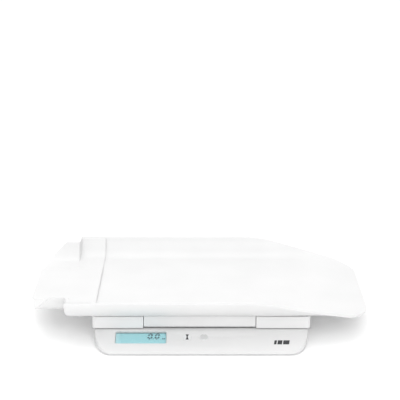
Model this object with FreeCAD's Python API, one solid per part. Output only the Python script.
import FreeCAD, Part
import math
import os

from FreeCAD import Placement, Rotation, Vector

# Low-profile weighing scale with a long, lift-off dish tray.  Millimetres, +Z up.
# The origin lies on the standing surface, under the middle of the whole object.
# +X runs along the tray towards its low, open end, and -Y is the display side.

# ---- driving dimensions: tray ----
TRAY_Y = 12.5             # centreline of the tray and the platform
TRAY_LEFT = -217.0
TRAY_RIGHT = 280.0
TRAY_BOTTOM = 45.0
TRAY_WALL = 3.0
TRAY_RIM_HALF = 157.5
TRAY_RIM_Z = 79.3
TRAY_WALL_RUN = 37.5      # from the edge of the flat floor to the rim
WALL_CONTROL = 0.69       # how far out the walls' curves keep level, as a share of the run
FALL_START = 76.0         # the rim bends down over FALL_EASE, then falls straight
FALL_EASE = 60.0
FALL_SLOPE = 0.255
DROOP_START = 200.0       # the floor droops past the platform's edge
DROOP = 7.5
RIM_TAPER = 38.2          # how far the rim draws in on each side at the low end
TAPER_START = 90.0
TRAY_END_A = 48.0         # half-axes of the low end's rounded plan corners
TRAY_END_B = 43.2
END_LIP = 1.5
TRAY_HEEL_RADIUS = 14.0
LOFT_START = 60.0
LOFT_PITCH = 20.0
PEG_RADIUS = 4.0
PEG_BOTTOM = TRAY_BOTTOM - 6.0
PEG_X = (-98.0, 102.0)
PEG_Y = 117.0
PEG_CLEARANCE = 0.6

# ---- driving dimensions: sliding extension ----
EXT_WALL = 2.0
EXT_BOTTOM = TRAY_BOTTOM + TRAY_WALL + 0.3
EXT_TOP = EXT_BOTTOM + EXT_WALL
EXT_LEFT = -276.5
EXT_CORNER_LEFT = -267.7
EXT_RIGHT = -171.0
EXT_RIM_HALF = 131.0
EXT_RIM_Z = 78.9
EXT_WALL_RUN = 31.0
WIDE_RIM_HALF = 152.5     # the part inside the tray lies close inside the tray's walls
WIDE_WALL_RUN = 35.5
SHOULDER_WALL = 2.5       # joins the narrow outer part to the wide inner part
RAKE_FOOT = 7.0           # the side walls' ends lean back from the floor's end
RAKE_SHOULDER = (32.0, 76.0)
RAKE_BEND = (36.3, 79.3)
RAKE_RIM = (41.5, 81.0)
BAND_LEFT = -280.0        # slightly raised middle band, whose end is the pull grip
BAND_HALF = 66.0
BAND_TOP = EXT_TOP + 1.5

# ---- driving dimensions: platform ----
BASE_X = 4.0              # centreline of the base and the platform
PLAT_HALF = 178.5
PLAT_FRONT = TRAY_Y - 129.5
PLAT_BACK = TRAY_Y + 129.5
PLAT_BOTTOM = 24.5
PLAT_TOP = TRAY_BOTTOM
PLAT_WALL = 2.5
PLAT_CORNER = 7.0
PLAT_EDGE = 2.5
TONGUE_HALF = 91.5
TONGUE_CLEAR = 0.8
TONGUE_FRONT = PLAT_FRONT + 1.5
TONGUE_WALL = 3.0
TONGUE_BOTTOM = 26.3
TONGUE_TOP = TRAY_BOTTOM + 0.3
TONGUE_BACK = -100.0
TONGUE_X = 1.5
TONGUE_SCREWS = (-62.0, 0.0, 62.0)
TONGUE_SCREW_Y = -104.0
TONGUE_SCREW_BITE = 2.0   # length of thread in the tray's floor
NOTCH_BACK = -98.0
TONGUE_RIBS = 7
COVER_SKIN = 1.8          # plastic left over the blind screw holes

# ---- driving dimensions: base ----
BASE_HALF = 174.5
BASE_BACK = TRAY_Y + 127.5
TOE_Y = -170.0
TOE_Z = 5.5
DECK_Z = 23.0
DECK_FRONT = TRAY_Y - 127.5
SEAM_Z = 4.0
BASE_BOTTOM = 1.5
BASE_WALL = 2.4
CORNER_A = 30.0           # half-axes of the front corners' elliptical plan
CORNER_B = 65.0
BACK_RADIUS = 20.0
BASE_EDGE = 1.6
LOWER_INSET = 1.0

# ---- control panel: local X along the front, Y up the slope, Z out of the face ----
PANEL_TILT = math.degrees(math.atan((DECK_Z - TOE_Z) / (DECK_FRONT - TOE_Y)))
PANEL_DOWN = 21.0         # panel origin, measured down the slope from the deck's edge
WINDOW_X = -94.0
WINDOW_W = 84.0
WINDOW_H = 29.4
WINDOW_RADIUS = 3.0
WINDOW_DEPTH = 1.9
WINDOW_SUNK = 0.3
LEDGE = 1.0
POWER_X = -18.8
TARE_X = 8.4
BUTTON_RADIUS = 6.8
BUTTON_HOLE = 7.0
BUTTON_PROUD = 0.7
BUTTON_SKIRT = 8.2
BUTTON_BASE = -3.4
PLUNGER_RADIUS = 1.7
SWITCH_TOP = -4.6
BOARD_TOP = -7.0
BOARD_THICK = 1.6
BOARD_SCREWS = ((-141.0, 4.0), (-44.0, 8.0), (-44.0, -7.0), (22.0, 4.0))
CONNECTOR_X = (-8.0, 14.0)
CONNECTOR_BACK = 9.0
CONNECTOR_HEIGHT = 3.0

# ---- load cell stack ----
CELL_LENGTH = 150.0
CELL_WIDTH = 30.0
CELL_HEIGHT = 22.0
PLATE = 2.5
SPACER = 2.0
CELL_Z = SEAM_Z + PLATE + SPACER
CELL_END = 18.0           # from the end of the bar to the middle of its screw pair
CELL_PITCH = 16.0
FRAME_Z = CELL_Z + CELL_HEIGHT + PLATE
FRAME_TOP = FRAME_Z + PLATE
FRAME_HALF_X = 140.0
FRAME_HALF_Y = 88.0
COVER_BOSSES = ((-118.0, -66.0), (0.0, -66.0), (118.0, -66.0),
                (-118.0, 66.0), (0.0, 66.0), (118.0, 66.0))
STOPS = ((-96.0, -50.0), (96.0, -50.0), (-96.0, 50.0), (96.0, 50.0))
STOP_GAP = 0.8

# ---- base fixings, feet and battery bay ----
BASE_BOSSES = ((-150.0, -85.0), (150.0, -85.0), (-150.0, 20.0),
               (150.0, 20.0), (-150.0, 95.0), (150.0, 95.0))
FEET = ((-128.0, -124.0), (128.0, -124.0), (-128.0, 118.0), (128.0, 118.0))
FOOT_RADIUS = 11.0
FOOT_POCKET = 1.0
BAY_X = 80.0
BAY_FRONT = 84.0
BAY_BACK = 134.0
BAY_HALF = 23.0
BAY_TOP = 17.0
BAY_WALL = 1.4
CELL_AAA_RADIUS = 5.25
CELL_AAA_LENGTH = 44.5
AAA_PITCH = 11.2
AAA_Z = SEAM_Z + 0.6 + CELL_AAA_RADIUS
AAA_NUB = 1.0
DOOR_RIDGES = 5
DOOR_HALF = 24.0
DOOR_TONGUE = 1.4
DOOR_TOP = BASE_BOTTOM + 1.6
DOOR_FRONT = 80.0
RUN_CLEAR = 0.3

# ---- screws: shank radius, head radius, head height ----
M2 = (1.0, 1.9, 1.2)
M3 = (1.5, 2.9, 1.8)
M3_LOW = (1.5, 2.9, 1.3)
M4 = (2.0, 3.6, 1.6)
M6 = (3.0, 5.2, 2.3)
M3_FREE = 1.7             # radius of a hole that an M3 shank passes through
COVER_SCREW = 8.6         # lengths under the head
CELL_SCREW = 14.0
ANCHOR_SCREW = 4.4
BASE_SCREW = 12.0
BOARD_SCREW = 4.6
BOSS_RADIUS = 4.5
ANCHOR_SEAT = SEAM_Z - 0.6
BASE_SCREW_SEAT = BASE_BOTTOM + 1.4
FIT = 0.05                # radial room round a screw in its own hole
SLAB = 60.0               # generous depth for cutting tools


def box(x0, x1, y0, y1, z0, z1):
    return Part.makeBox(x1 - x0, y1 - y0, z1 - z0, Vector(x0, y0, z0))


def rod(x, y, z0, z1, radius):
    return Part.makeCylinder(radius, z1 - z0, Vector(x, y, z0))


def export(node, shape):
    shape.exportStep("parts/" + node + ".step")


def group(solids):
    return Part.makeCompound(solids)


def round_upright(solid, radius, choose):
    edges = []
    for edge in solid.Edges:
        low, high = edge.BoundBox.ZMin, edge.BoundBox.ZMax
        upright = edge.BoundBox.XLength < 0.01 and edge.BoundBox.YLength < 0.01
        if upright and high > low and choose(edge.BoundBox.Center):
            edges.append(edge)
    return solid.makeFillet(radius, edges)


def round_level(solid, radius, z):
    edges = [e for e in solid.Edges
             if abs(e.BoundBox.ZMin - z) < 0.01 and abs(e.BoundBox.ZMax - z) < 0.01]
    return solid.makeFillet(radius, edges)


def screw(x, y, z_head, length, size, up=True):
    """Pan-head screw; z_head is the seat under the head, the shank runs on by length."""
    radius, head_radius, head_height = size
    sign = 1.0 if up else -1.0
    seat = Vector(x, y, z_head)
    shank = Part.makeCylinder(radius, length, seat, Vector(0, 0, sign))
    head = Part.makeCylinder(head_radius, head_height, seat, Vector(0, 0, -sign))
    slot_z = z_head - sign * head_height
    depth = head_height * 0.5
    arm = head_radius * 0.55
    low, high = sorted((slot_z, slot_z + sign * depth))
    cross = box(x - arm, x + arm, y - 0.3, y + 0.3, low, high)
    cross = cross.fuse(box(x - 0.3, x + 0.3, y - arm, y + arm, low, high))
    return shank.fuse(head).cut(cross).removeSplitter()


# ------------------------------------------------------------------ tray sections

def bezier(points):
    curve = Part.BezierCurve()
    curve.setPoles(points)
    return curve.toShape()


def dish_section(x, floor_half, rim_half, bottom, rim_z, wall):
    """Closed U-shaped wire across the dish at x: flat floor, curved walls, round lip."""
    middle = floor_half + WALL_CONTROL * (rim_half - floor_half)
    run, rise = rim_half - middle, rim_z - bottom
    length = math.hypot(run, rise)
    lean = (run / length, rise / length)
    normal = (-lean[1], lean[0])
    share = 1.0 + normal[1]
    corner = (normal[0] / share * wall, (1.0 + normal[1]) / share * wall)
    outer = ((floor_half, bottom), (middle, bottom), (rim_half, rim_z))
    inner = ((floor_half, bottom + wall),
             (middle + corner[0], bottom + corner[1]),
             (rim_half + normal[0] * wall, rim_z + normal[1] * wall))
    tip = (rim_half + (normal[0] + lean[0]) * wall / 2,
           rim_z + (normal[1] + lean[1]) * wall / 2)

    def at(point, side):
        return Vector(x, TRAY_Y + side * point[0], point[1])

    edges = [Part.makeLine(at(outer[0], -1), at(outer[0], 1)),
             bezier([at(p, 1) for p in outer]),
             Part.Arc(at(outer[2], 1), at(tip, 1), at(inner[2], 1)).toShape(),
             bezier([at(p, 1) for p in reversed(inner)]),
             Part.makeLine(at(inner[0], 1), at(inner[0], -1)),
             bezier([at(p, -1) for p in inner]),
             Part.Arc(at(inner[2], -1), at(tip, -1), at(outer[2], -1)).toShape(),
             bezier([at(p, -1) for p in reversed(outer)])]
    return Part.Wire(edges)


def rim_height(x):
    run = max(x - FALL_START, 0.0)
    if run < FALL_EASE:
        return TRAY_RIM_Z - FALL_SLOPE * run * run / (2 * FALL_EASE)
    return TRAY_RIM_Z - FALL_SLOPE * (run - FALL_EASE / 2)


def floor_height(x):
    t = max(x - DROOP_START, 0.0) / (TRAY_RIGHT - DROOP_START)
    return TRAY_BOTTOM - DROOP * t * t


def rim_half(x):
    t = max(x - TAPER_START, 0.0) / (TRAY_RIGHT - TAPER_START)
    return TRAY_RIM_HALF - RIM_TAPER * t * t


def tray_section(x):
    half = rim_half(x)
    return dish_section(x, half - TRAY_WALL_RUN, half, floor_height(x), rim_height(x),
                        TRAY_WALL)


def straight_dish(x0, x1, floor_half, half, bottom, rim_z, wall):
    face = Part.Face(dish_section(x0, floor_half, half, bottom, rim_z, wall))
    return face.extrude(Vector(x1 - x0, 0, 0))


def side_prism(points, y0, y1):
    """Prism along Y from an outline in the XZ plane."""
    wire = Part.makePolygon([Vector(x, y0, z) for x, z in points + points[:1]])
    return Part.Face(wire).extrude(Vector(0, y1 - y0, 0))


def end_plan():
    """Upright prism that keeps the tray and rounds the plan of its low end."""
    corner_x = TRAY_RIGHT - TRAY_END_A
    wide = TRAY_RIM_HALF + 5
    steps = 6
    curve = []
    for i in range(steps + 1):
        turn = math.pi / 2 * i / steps
        x = corner_x + TRAY_END_A * math.sin(turn)
        curve.append((x, rim_half(x) + END_LIP - TRAY_END_B * (1 - math.cos(turn))))
    edges = []
    for side in (-1, 1):
        spline = Part.BSplineCurve()
        spline.interpolate([Vector(x, TRAY_Y + side * y, 0) for x, y in curve])
        edges.append(spline.toShape())
    first, last = curve[0], curve[-1]
    around = [(last[0], last[1]), (last[0], -last[1])]
    edges.append(Part.makeLine(*[Vector(x, TRAY_Y + y, 0) for x, y in around]))
    around = [(first[0], -first[1]), (first[0], -wide), (TRAY_LEFT - 5, -wide),
              (TRAY_LEFT - 5, wide), (first[0], wide), (first[0], first[1])]
    corners = [Vector(x, TRAY_Y + y, 0) for x, y in around]
    edges += [Part.makeLine(a, b) for a, b in zip(corners, corners[1:])]
    wire = Part.Wire(Part.__sortEdges__(edges))
    return Part.Face(wire).extrude(Vector(0, 0, SLAB * 2))


def main_tray():
    tray = straight_dish(TRAY_LEFT, LOFT_START, TRAY_RIM_HALF - TRAY_WALL_RUN,
                         TRAY_RIM_HALF, TRAY_BOTTOM, TRAY_RIM_Z, TRAY_WALL)
    for start, end in ((LOFT_START, DROOP_START), (DROOP_START, TRAY_RIGHT)):
        steps = round((end - start) / LOFT_PITCH)
        stations = [start + i * LOFT_PITCH for i in range(steps + 1)]
        tray = tray.fuse(Part.makeLoft([tray_section(x) for x in stations], True, False))
    tray = tray.common(end_plan())
    y0, y1 = TRAY_Y - TRAY_RIM_HALF - 5, TRAY_Y + TRAY_RIM_HALF + 5
    heel = box(TRAY_LEFT - 1, TRAY_LEFT + TRAY_HEEL_RADIUS, y0, y1,
               TRAY_BOTTOM - 1, TRAY_BOTTOM + TRAY_HEEL_RADIUS)
    keep = Part.makeCylinder(TRAY_HEEL_RADIUS, y1 - y0,
                             Vector(TRAY_LEFT + TRAY_HEEL_RADIUS, y0,
                                    TRAY_BOTTOM + TRAY_HEEL_RADIUS), Vector(0, 1, 0))
    tray = tray.cut(heel.cut(keep))
    for x in PEG_X:
        tray = tray.fuse(rod(x, PEG_Y, PEG_BOTTOM, TRAY_BOTTOM + 1, PEG_RADIUS))
    for x in TONGUE_SCREWS:
        tray = tray.cut(rod(TONGUE_X + x, TONGUE_SCREW_Y, TRAY_BOTTOM - 1,
                            TRAY_BOTTOM + TONGUE_SCREW_BITE + 0.2, M3[0] + FIT))
    return tray.removeSplitter()


def rake_tool(y0, y1):
    """Cuts the side walls' ends back: a straight lean that rounds over into the rim."""
    foot, shoulder, bend, rim = [Vector(EXT_LEFT + x, y0, z) for x, z in (
        (RAKE_FOOT, EXT_TOP), RAKE_SHOULDER, RAKE_BEND, RAKE_RIM)]
    outside = [Vector(EXT_LEFT + RAKE_RIM[0], y0, SLAB * 2),
               Vector(EXT_LEFT - 5, y0, SLAB * 2), Vector(EXT_LEFT - 5, y0, EXT_TOP)]
    edges = [Part.makeLine(foot, shoulder), Part.Arc(shoulder, bend, rim).toShape()]
    around = [rim] + outside + [foot]
    edges += [Part.makeLine(a, b) for a, b in zip(around, around[1:])]
    return Part.Face(Part.Wire(edges)).extrude(Vector(0, y1 - y0, 0))


def dish_fill(x0, x1, floor_half, half, bottom, rim_z):
    """Solid block with the dish's curved sides and floor, level across its top."""
    middle = floor_half + WALL_CONTROL * (half - floor_half)
    right = [Vector(x0, TRAY_Y + y, z)
             for y, z in ((floor_half, bottom), (middle, bottom), (half, rim_z))]
    left = [Vector(x0, 2 * TRAY_Y - p.y, p.z) for p in right]
    edges = [bezier(right), Part.makeLine(right[2], left[2]), bezier(left[::-1]),
             Part.makeLine(left[0], right[0])]
    return Part.Face(Part.Wire(edges)).extrude(Vector(x1 - x0, 0, 0))


def extension_tray():
    narrow_floor = EXT_RIM_HALF - EXT_WALL_RUN
    wide_floor = WIDE_RIM_HALF - WIDE_WALL_RUN
    top = EXT_RIM_Z + EXT_WALL
    body = straight_dish(EXT_LEFT, TRAY_LEFT + SHOULDER_WALL, narrow_floor, EXT_RIM_HALF,
                         EXT_BOTTOM, EXT_RIM_Z, EXT_WALL)
    inside = straight_dish(TRAY_LEFT + SHOULDER_WALL, EXT_RIGHT, wide_floor, WIDE_RIM_HALF,
                           EXT_BOTTOM, EXT_RIM_Z, EXT_WALL)
    shoulder = dish_fill(TRAY_LEFT, TRAY_LEFT + SHOULDER_WALL, wide_floor, WIDE_RIM_HALF,
                         EXT_BOTTOM, top)
    opening = dish_fill(TRAY_LEFT, TRAY_LEFT + SHOULDER_WALL, narrow_floor,
                        EXT_RIM_HALF - EXT_WALL / 2, EXT_BOTTOM + EXT_WALL / 2, top)
    body = body.fuse(inside).fuse(shoulder.cut(opening))
    body = body.cut(rake_tool(TRAY_Y - TRAY_RIM_HALF, TRAY_Y + TRAY_RIM_HALF))
    for side in (-1, 1):
        corner = Part.makePolygon([Vector(x, TRAY_Y + side * y, EXT_BOTTOM - 1) for x, y in (
            (EXT_LEFT - 1, BAND_HALF), (EXT_LEFT, BAND_HALF), (EXT_CORNER_LEFT, EXT_RIM_HALF),
            (EXT_LEFT - 1, EXT_RIM_HALF), (EXT_LEFT - 1, BAND_HALF))])
        body = body.cut(Part.Face(corner).extrude(Vector(0, 0, SLAB)))
    band = box(BAND_LEFT, EXT_RIGHT, TRAY_Y - BAND_HALF, TRAY_Y + BAND_HALF,
               EXT_BOTTOM, BAND_TOP)
    hollow = box(BAND_LEFT + EXT_WALL, EXT_RIGHT + 1, TRAY_Y - BAND_HALF + EXT_WALL,
                 TRAY_Y + BAND_HALF - EXT_WALL, EXT_BOTTOM - 1, BAND_TOP - EXT_WALL)
    return body.fuse(band).cut(hollow).removeSplitter()


def tray_tongue():
    x0, x1 = TONGUE_X - TONGUE_HALF, TONGUE_X + TONGUE_HALF
    face = box(x0, x1, TONGUE_FRONT, TONGUE_FRONT + TONGUE_WALL, TONGUE_BOTTOM, TONGUE_TOP)
    shelf = box(x0, x1, TONGUE_FRONT, TONGUE_BACK, TRAY_BOTTOM - TONGUE_WALL, TRAY_BOTTOM)
    tongue = face.fuse(shelf)
    for i in range(TONGUE_RIBS):
        x = x0 + TONGUE_WALL + i * (2 * TONGUE_HALF - 2 * TONGUE_WALL) / (TONGUE_RIBS - 1)
        rib = side_prism([(x - 1, TONGUE_BOTTOM + 6), (x + 1, TONGUE_BOTTOM + 6),
                          (x + 1, TRAY_BOTTOM - 1), (x - 1, TRAY_BOTTOM - 1)],
                         TONGUE_FRONT + 1, TONGUE_FRONT + 8)
        tongue = tongue.fuse(rib)
    tongue = tongue.removeSplitter()
    for x in TONGUE_SCREWS:
        tongue = tongue.cut(rod(TONGUE_X + x, TONGUE_SCREW_Y, TRAY_BOTTOM - TONGUE_WALL - 1,
                              TRAY_BOTTOM + 1, M3[0] + FIT))
    return tongue


def tongue_screws():
    return group([screw(TONGUE_X + x, TONGUE_SCREW_Y, TRAY_BOTTOM - TONGUE_WALL,
                        TONGUE_WALL + TONGUE_SCREW_BITE, M3) for x in TONGUE_SCREWS])


# ------------------------------------------------------------------ platform

def platform_outline(inset, z0, z1):
    outer = box(BASE_X - PLAT_HALF + inset, BASE_X + PLAT_HALF - inset,
                PLAT_FRONT + inset, PLAT_BACK - inset, z0, z1)
    notch = box(TONGUE_X - TONGUE_HALF - TONGUE_CLEAR - inset,
                TONGUE_X + TONGUE_HALF + TONGUE_CLEAR + inset,
                PLAT_FRONT - 1, NOTCH_BACK + inset, z0 - 1, z1 + 1)
    radius = PLAT_CORNER - inset
    solid = round_upright(outer, radius, lambda c: True)
    return solid.cut(notch)


def platform_cover():
    shell = platform_outline(0.0, PLAT_BOTTOM, PLAT_TOP)
    shell = round_level(shell, PLAT_EDGE, PLAT_TOP)
    shell = shell.cut(platform_outline(PLAT_WALL, PLAT_BOTTOM - 1, PLAT_TOP - PLAT_WALL))
    for x, y in COVER_BOSSES:
        boss = rod(BASE_X + x, TRAY_Y + y, FRAME_TOP, PLAT_TOP - PLAT_WALL + 0.5,
                   BOSS_RADIUS)
        shell = shell.fuse(boss)
    for x, y in COVER_BOSSES:
        shell = shell.cut(rod(BASE_X + x, TRAY_Y + y, FRAME_TOP - 1, PLAT_TOP - COVER_SKIN,
                              M3[0] + FIT))
    for x in PEG_X:
        shell = shell.cut(rod(x, PEG_Y, PLAT_TOP - PLAT_WALL - 1, PLAT_TOP + 1,
                              PEG_RADIUS + PEG_CLEARANCE))
    return shell.removeSplitter()


def platform_frame():
    plate = box(BASE_X - FRAME_HALF_X, BASE_X + FRAME_HALF_X,
                TRAY_Y - FRAME_HALF_Y, TRAY_Y + FRAME_HALF_Y, FRAME_Z, FRAME_TOP)
    plate = round_upright(plate, 14.0, lambda c: True)
    for x in (-75.0, 75.0):
        for y in (-44.0, 44.0):
            window = box(BASE_X + x - 20, BASE_X + x + 20, TRAY_Y + y - 18,
                         TRAY_Y + y + 18, FRAME_Z - 1, FRAME_TOP + 1)
            plate = plate.cut(round_upright(window, 8.0, lambda c: True))
    for x, y in COVER_BOSSES:
        plate = plate.cut(rod(BASE_X + x, TRAY_Y + y, FRAME_Z - 1, FRAME_TOP + 1, M3_FREE))
    for x in cell_screw_x(1):
        plate = plate.cut(rod(x, TRAY_Y, FRAME_Z - 1, FRAME_TOP + 1, M6[0] + FIT))
    return plate


def platform_screws():
    return group([screw(BASE_X + x, TRAY_Y + y, FRAME_Z, COVER_SCREW, M3)
                  for x, y in COVER_BOSSES])


# ------------------------------------------------------------------ load cell

def cell_screw_x(side):
    middle = BASE_X + side * (CELL_LENGTH / 2 - CELL_END)
    return (middle - CELL_PITCH / 2, middle + CELL_PITCH / 2)


def load_cell():
    z0, z1 = CELL_Z, CELL_Z + CELL_HEIGHT
    y0, y1 = TRAY_Y - CELL_WIDTH / 2, TRAY_Y + CELL_WIDTH / 2
    bar = box(BASE_X - CELL_LENGTH / 2, BASE_X + CELL_LENGTH / 2, y0, y1, z0, z1)
    middle = (z0 + z1) / 2
    for x in (-12.0, 12.0):
        bar = bar.cut(Part.makeCylinder(8.5, CELL_WIDTH, Vector(BASE_X + x, y0, middle),
                                        Vector(0, 1, 0)))
    bar = bar.cut(box(BASE_X - 12, BASE_X + 12, y0, y1, middle - 2, middle + 2))
    for x in cell_screw_x(-1):
        bar = bar.cut(rod(x, TRAY_Y, z0 - 1, z0 + CELL_SCREW, M6[0] + FIT))
    for x in cell_screw_x(1):
        bar = bar.cut(rod(x, TRAY_Y, z1 - CELL_SCREW, z1 + 1, M6[0] + FIT))
    return bar


def gauge_seals():
    seals = []
    for z0 in (CELL_Z - 1.2, CELL_Z + CELL_HEIGHT):
        pad = box(BASE_X - 22, BASE_X + 22, TRAY_Y - 11, TRAY_Y + 11, z0, z0 + 1.2)
        seals.append(round_upright(pad, 4.0, lambda c: True))
    return group(seals)


def spacer(side, z0, thickness):
    middle = BASE_X + side * (CELL_LENGTH / 2 - CELL_END)
    block = box(middle - CELL_END, middle + CELL_END, TRAY_Y - CELL_WIDTH / 2,
                TRAY_Y + CELL_WIDTH / 2, z0, z0 + thickness)
    block = round_upright(block, 3.0, lambda c: True)
    for x in cell_screw_x(side):
        block = block.cut(rod(x, TRAY_Y, z0 - 1, z0 + thickness + 1, M6[0] + FIT))
    return block


def cell_screws(side):
    seat = SEAM_Z if side < 0 else FRAME_TOP
    return group([screw(x, TRAY_Y, seat, CELL_SCREW, M6, up=side < 0)
                  for x in cell_screw_x(side)])


def anchor_points():
    return [(BASE_X + x, TRAY_Y + y) for x in (-104.0, 26.0) for y in (-28.0, 28.0)]


def anchor_plate():
    plate = box(BASE_X - 112, BASE_X + 36, TRAY_Y - 36, TRAY_Y + 36, SEAM_Z, SEAM_Z + PLATE)
    plate = round_upright(plate, 6.0, lambda c: True)
    for x, y in anchor_points():
        plate = plate.cut(rod(x, y, 0, SEAM_Z + PLATE + 1, M4[0] + FIT))
    for x in cell_screw_x(-1):
        plate = plate.cut(rod(x, TRAY_Y, 0, SEAM_Z + PLATE + 1, M6[0] + FIT))
    return plate


def anchor_screws():
    return group([screw(x, y, ANCHOR_SEAT, ANCHOR_SCREW, M4) for x, y in anchor_points()])


def overload_stops():
    height = FRAME_Z - STOP_GAP - DECK_Z + 1.0
    stops = []
    for x, y in STOPS:
        pin = rod(BASE_X + x, TRAY_Y + y, DECK_Z - 1.0, DECK_Z - 1.0 + height, 2.0)
        slot = box(BASE_X + x - 2.5, BASE_X + x + 2.5, TRAY_Y + y - 0.4, TRAY_Y + y + 0.4,
                   DECK_Z + height - 2.2, DECK_Z + height)
        stops.append(pin.cut(slot))
    return group(stops)


# ------------------------------------------------------------------ base

def base_plan(inset, z0, z1):
    """Prism of the base's plan: straight sides and back, elliptical front corners."""
    left, right = BASE_X - BASE_HALF + inset, BASE_X + BASE_HALF - inset
    front, back = TOE_Y + inset, BASE_BACK - inset
    a, b, r = CORNER_A - inset, CORNER_B - inset, BACK_RADIUS - inset
    edges = [Part.makeLine(Vector(left + a, front, z0), Vector(right - a, front, z0))]
    for side, x in ((1, right - a), (-1, left + a)):
        ellipse = Part.Ellipse(Vector(x, front, z0), Vector(x + side * a, front + b, z0),
                               Vector(x, front + b, z0))
        start, end = Vector(x, front, z0), Vector(x + side * a, front + b, z0)
        u0, u1 = ellipse.parameter(start), ellipse.parameter(end)
        quarter = (u1 - u0) % (2 * math.pi)
        if quarter > math.pi:
            u0, u1 = u1, u0
        u1 = u0 + (u1 - u0) % (2 * math.pi)
        edges.append(Part.ArcOfEllipse(ellipse, u0, u1).toShape())
    half = r * (1 - math.sqrt(0.5))
    edges.append(Part.makeLine(Vector(right, front + b, z0), Vector(right, back - r, z0)))
    edges.append(Part.Arc(Vector(right, back - r, z0), Vector(right - half, back - half, z0),
                          Vector(right - r, back, z0)).toShape())
    edges.append(Part.makeLine(Vector(right - r, back, z0), Vector(left + r, back, z0)))
    edges.append(Part.Arc(Vector(left + r, back, z0), Vector(left + half, back - half, z0),
                          Vector(left, back - r, z0)).toShape())
    edges.append(Part.makeLine(Vector(left, back - r, z0), Vector(left, front + b, z0)))
    wire = Part.Wire(Part.__sortEdges__(edges))
    return Part.Face(wire).extrude(Vector(0, 0, z1 - z0))


def panel_place(shape):
    """Move a shape from the control panel's local axes to its place on the slope."""
    tilt = math.radians(PANEL_TILT)
    origin = Vector(0, DECK_FRONT - PANEL_DOWN * math.cos(tilt),
                    DECK_Z - PANEL_DOWN * math.sin(tilt))
    moved = shape.copy()
    moved.Placement = Placement(origin, Rotation(Vector(1, 0, 0), PANEL_TILT))
    return moved


def panel_point(x, y, z):
    return tuple(panel_place(Part.Vertex(x, y, z)).Point)


def slope_cutter(depth):
    """Everything above the panel's slope, lowered by depth."""
    return panel_place(box(-300, 300, -90, PANEL_DOWN + 30, -depth, SLAB))


def base_upper():
    shell = base_plan(0.0, SEAM_Z, DECK_Z)
    shell = shell.cut(slope_cutter(0.0))
    rims = [e for e in shell.Edges if e.BoundBox.ZMin > SEAM_Z + 0.5]
    shell = shell.makeFillet(BASE_EDGE * 0.6, rims)
    hollow = base_plan(BASE_WALL, SEAM_Z - 1, DECK_Z - BASE_WALL)
    shell = shell.cut(hollow.cut(slope_cutter(BASE_WALL)))
    for x, y in BASE_BOSSES:
        boss = rod(BASE_X + x, TRAY_Y + y, SEAM_Z, DECK_Z - BASE_WALL + 0.5, BOSS_RADIUS)
        shell = shell.fuse(boss)
    for x, y in STOPS:
        shell = shell.fuse(rod(BASE_X + x, TRAY_Y + y, DECK_Z - 0.5, DECK_Z + 5.0, 6.0))
    for x, y in BOARD_SCREWS:
        shell = shell.fuse(panel_place(rod(x, y, BOARD_TOP, -BASE_WALL + 0.5, 3.0)))
    window = box(WINDOW_X - WINDOW_W / 2, WINDOW_X + WINDOW_W / 2,
                 -WINDOW_H / 2, WINDOW_H / 2, -WINDOW_DEPTH, 5)
    window = round_upright(window, WINDOW_RADIUS, lambda c: True)
    ledge = box(WINDOW_X - WINDOW_W / 2 + LEDGE, WINDOW_X + WINDOW_W / 2 - LEDGE,
                -WINDOW_H / 2 + LEDGE, WINDOW_H / 2 - LEDGE, -5, 5)
    cuts = [panel_place(window), panel_place(round_upright(ledge, 2.0, lambda c: True))]
    for x in (POWER_X, TARE_X):
        cuts.append(panel_place(rod(x, 0, -5, 5, BUTTON_HOLE)))
    for x, y in BASE_BOSSES:
        cuts.append(rod(BASE_X + x, TRAY_Y + y, SEAM_Z - 1, SEAM_Z + BASE_SCREW,
                        M3[0] + FIT))
    for x, y in STOPS:
        cuts.append(rod(BASE_X + x, TRAY_Y + y, DECK_Z - 1.0, DECK_Z + 6, 2.0 + FIT))
    for x, y in BOARD_SCREWS:
        cuts.append(panel_place(rod(x, y, BOARD_TOP - 1, -BASE_WALL, M2[0] + FIT)))
    cuts.append(box(BASE_X - CELL_LENGTH / 2 - 5, BASE_X + CELL_LENGTH / 2 + 5,
                    TRAY_Y - CELL_WIDTH / 2 - 6, TRAY_Y + CELL_WIDTH / 2 + 6,
                    DECK_Z - BASE_WALL - 1, DECK_Z + 1))
    for tool in cuts:
        shell = shell.cut(tool)
    return shell.removeSplitter()


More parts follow.
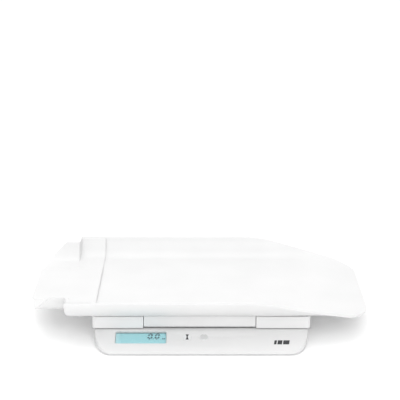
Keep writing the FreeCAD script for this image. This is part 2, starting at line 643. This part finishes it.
def base_lower():
    floor = base_plan(LOWER_INSET, BASE_BOTTOM, SEAM_Z)
    floor = round_level(floor, 1.2, BASE_BOTTOM)
    bay = box(BAY_X - BAY_HALF - BAY_WALL, BAY_X + BAY_HALF + BAY_WALL,
              BAY_FRONT - BAY_WALL, BAY_BACK + BAY_WALL, SEAM_Z - 0.5, BAY_TOP + BAY_WALL)
    floor = floor.fuse(bay)
    cuts = [box(BAY_X - BAY_HALF, BAY_X + BAY_HALF, BAY_FRONT, BAY_BACK, 0, BAY_TOP)]
    channel_half = DOOR_HALF + RUN_CLEAR
    cuts.append(box(BAY_X - channel_half, BAY_X + channel_half, DOOR_FRONT - RUN_CLEAR,
                    BASE_BACK + 5, 0, DOOR_TOP + 0.2))
    cuts.append(box(BAY_X - channel_half - DOOR_TONGUE, BAY_X + channel_half + DOOR_TONGUE,
                    DOOR_FRONT - RUN_CLEAR, BASE_BACK + 5, BASE_BOTTOM + 0.4,
                    DOOR_TOP - 0.1))
    for x, y in FEET:
        cuts.append(rod(BASE_X + x, y, 0, BASE_BOTTOM + FOOT_POCKET, FOOT_RADIUS + FIT))
    for x, y in BASE_BOSSES:
        cuts.append(rod(BASE_X + x, TRAY_Y + y, 0, SEAM_Z + 1, M3_FREE))
        cuts.append(rod(BASE_X + x, TRAY_Y + y, 0, BASE_SCREW_SEAT, M3[1] + 0.5))
    for x, y in anchor_points():
        cuts.append(rod(x, y, 0, SEAM_Z + 1, M4[0] + 0.2))
        cuts.append(rod(x, y, 0, ANCHOR_SEAT, M4[1] + 0.4))
    for x in cell_screw_x(-1):
        cuts.append(rod(x, TRAY_Y, 0, SEAM_Z + 1, M6[1] + 0.8))
    for tool in cuts:
        floor = floor.cut(tool)
    return floor.removeSplitter()


def base_screws():
    return group([screw(BASE_X + x, TRAY_Y + y, BASE_SCREW_SEAT, BASE_SCREW, M3_LOW)
                  for x, y in BASE_BOSSES])


def rubber_feet():
    feet = []
    for x, y in FEET:
        foot = rod(BASE_X + x, y, 0, BASE_BOTTOM + FOOT_POCKET, FOOT_RADIUS)
        feet.append(round_level(foot, 0.8, 0.0))
    return group(feet)


# ------------------------------------------------------------------ batteries

def battery_door():
    door = box(BAY_X - DOOR_HALF, BAY_X + DOOR_HALF, DOOR_FRONT, BASE_BACK - LOWER_INSET - 0.3,
               BASE_BOTTOM, DOOR_TOP)
    tongues = box(BAY_X - DOOR_HALF - DOOR_TONGUE + RUN_CLEAR,
                  BAY_X + DOOR_HALF + DOOR_TONGUE - RUN_CLEAR, DOOR_FRONT,
                  BASE_BACK - 12, BASE_BOTTOM + 0.6, DOOR_TOP - 0.3)
    door = door.fuse(tongues).removeSplitter()
    for i in range(DOOR_RIDGES):
        y = BASE_BACK - 10 - i * 3
        door = door.cut(box(BAY_X - 10, BAY_X + 10, y - 0.6, y + 0.6, 0, BASE_BOTTOM + 0.5))
    return door


def battery_x():
    return [BAY_X + (i - 1.5) * AAA_PITCH for i in range(4)]


def batteries():
    cells = []
    middle = (BAY_FRONT + BAY_BACK) / 2
    for i, x in enumerate(battery_x()):
        way = 1 if i % 2 else -1
        start = Vector(x, middle - way * CELL_AAA_LENGTH / 2, AAA_Z)
        body = CELL_AAA_LENGTH - AAA_NUB
        can = Part.makeCylinder(CELL_AAA_RADIUS, body, start, Vector(0, way, 0))
        tip = Vector(x, start.y + way * body, AAA_Z)
        nub = Part.makeCylinder(1.9, AAA_NUB, tip, Vector(0, way, 0))
        cells.append(can.fuse(nub).removeSplitter())
    return group(cells)


def battery_contacts():
    leaves = []
    reach = (BAY_BACK - BAY_FRONT - CELL_AAA_LENGTH) / 2
    for x in battery_x():
        for y, way in ((BAY_FRONT, 1), (BAY_BACK, -1)):
            low, high = sorted((y, y + way * 0.4))
            leaf = box(x - 4, x + 4, low, high, AAA_Z - 4, AAA_Z + 4)
            bump = Part.makeCone(3.2, 1.6, reach - 0.1, Vector(x, y, AAA_Z), Vector(0, way, 0))
            leaves.append(leaf.fuse(bump).removeSplitter())
    return group(leaves)


# ------------------------------------------------------------------ panel parts

def display_window():
    lens = box(WINDOW_X - WINDOW_W / 2 + 0.1, WINDOW_X + WINDOW_W / 2 - 0.1,
               -WINDOW_H / 2 + 0.1, WINDOW_H / 2 - 0.1, -WINDOW_DEPTH, -WINDOW_SUNK)
    return panel_place(round_upright(lens, WINDOW_RADIUS - 0.1, lambda c: True))


def display_glass():
    glass = box(WINDOW_X - 40.5, WINDOW_X + 40.5, -12.5, 12.5, -5.4, -2.8)
    return panel_place(glass)


def backlight():
    return panel_place(box(WINDOW_X - 41.5, WINDOW_X + 41.5, -12.5, 12.5, BOARD_TOP, -5.4))


def button_cap(x):
    cap = rod(x, 0, BUTTON_BASE, BUTTON_PROUD, BUTTON_RADIUS)
    cap = round_level(cap, 0.6, BUTTON_PROUD)
    skirt = rod(x, 0, BUTTON_BASE, -BASE_WALL - 0.2, BUTTON_SKIRT)
    return panel_place(cap.fuse(skirt).removeSplitter())


def switch_plunger(x):
    return panel_place(rod(x, 0, SWITCH_TOP - 0.6, BUTTON_BASE, PLUNGER_RADIUS))


def switches():
    bodies = []
    for x in (POWER_X, TARE_X):
        body = box(x - 3, x + 3, -3, 3, BOARD_TOP, SWITCH_TOP)
        bodies.append(panel_place(body.cut(rod(x, 0, BOARD_TOP + 0.5, 0, PLUNGER_RADIUS + 0.1))))
    return group(bodies)


def main_board():
    board = box(-146, 27, -12.5, 14, BOARD_TOP - BOARD_THICK, BOARD_TOP)
    for x, y in BOARD_SCREWS:
        board = board.cut(rod(x, y, -12, 0, 1.2))
    return panel_place(board)


def board_parts():
    under = BOARD_TOP - BOARD_THICK
    places = [(-100, 4, 7, 7, 1.6), (-70, 4, 5, 4, 1.5), (-30, 6, 3, 2.2, 1.2)]
    for x in CONNECTOR_X:
        places.append((x, CONNECTOR_BACK - 3, 4, 3, CONNECTOR_HEIGHT))
    parts = []
    for x, y, half_x, half_y, height in places:
        parts.append(panel_place(box(x - half_x, x + half_x, y - half_y, y + half_y,
                                     under - height, under)))
    return group(parts)


def board_screws():
    screws = []
    for x, y in BOARD_SCREWS:
        screws.append(panel_place(screw(x, y, BOARD_TOP - BOARD_THICK, BOARD_SCREW, M2)))
    return group(screws)


def lead(points, radius, bend):
    """Round lead along straight runs joined by tangent arcs."""
    route = [Vector(*p) for p in points]
    edges = []
    start = route[0]
    for before, here, after in zip(route, route[1:], route[2:]):
        into = (here - before).normalize()
        away = (after - here).normalize()
        turn = math.acos(max(-1.0, min(1.0, into.dot(away))))
        cut = bend * math.tan(turn / 2)
        first, last = here - into * cut, here + away * cut
        inward = (away - into).normalize()
        middle = here + inward * (bend / math.cos(turn / 2) - bend)
        edges.append(Part.makeLine(start, first))
        edges.append(Part.Arc(first, middle, last).toShape())
        start = last
    edges.append(Part.makeLine(start, route[-1]))
    path = Part.Wire(edges)
    ring = Part.makeCircle(radius, route[0], (route[1] - route[0]))
    return path.makePipeShell([Part.Wire(ring)], True, True)


def plug_run(x, length):
    """Last stretch of a lead, along the board's underside into its connector."""
    depth = BOARD_TOP - BOARD_THICK - CONNECTOR_HEIGHT / 2
    return (panel_point(x, CONNECTOR_BACK + length, depth),
            panel_point(x, CONNECTOR_BACK, depth))


def sensor_lead():
    y = TRAY_Y - CELL_WIDTH / 2
    z = CELL_Z + 3.5
    return lead(((BASE_X, y, z), (BASE_X, y - 14, z), (BASE_X - 20, y - 40, z - 3))
                + plug_run(CONNECTOR_X[0], 20.0), 1.3, 6.0)


def battery_lead():
    y = BAY_FRONT - BAY_WALL
    return lead(((BAY_X, y, 10), (BAY_X, y - 16, 10), (BAY_X + 22, 20, 9),
                 (BAY_X - 10, -80, 9)) + plug_run(CONNECTOR_X[1], 18.0), 1.0, 6.0)


os.makedirs("parts", exist_ok=True)

export("main_tray", main_tray())
export("extension_tray", extension_tray())
export("tray_tongue", tray_tongue())
export("tongue_screws", tongue_screws())
export("platform_cover", platform_cover())
export("platform_frame", platform_frame())
export("platform_screws", platform_screws())
export("load_cell", load_cell())
export("gauge_seals", gauge_seals())
export("spacer_lower", spacer(-1, SEAM_Z + PLATE, SPACER))
export("spacer_upper", spacer(1, CELL_Z + CELL_HEIGHT, PLATE))
export("cell_screws_lower", cell_screws(-1))
export("cell_screws_upper", cell_screws(1))
export("anchor_plate", anchor_plate())
export("anchor_screws", anchor_screws())
export("overload_stops", overload_stops())
export("base_upper", base_upper())
export("base_lower", base_lower())
export("base_screws", base_screws())
export("rubber_feet", rubber_feet())
export("battery_door", battery_door())
export("batteries", batteries())
export("battery_contacts", battery_contacts())
export("display_window", display_window())
export("display_glass", display_glass())
export("backlight", backlight())
export("power_button", button_cap(POWER_X))
export("power_plunger", switch_plunger(POWER_X))
export("tare_button", button_cap(TARE_X))
export("tare_plunger", switch_plunger(TARE_X))
export("switches", switches())
export("main_board", main_board())
export("board_parts", board_parts())
export("board_screws", board_screws())
export("sensor_lead", sensor_lead())
export("battery_lead", battery_lead())
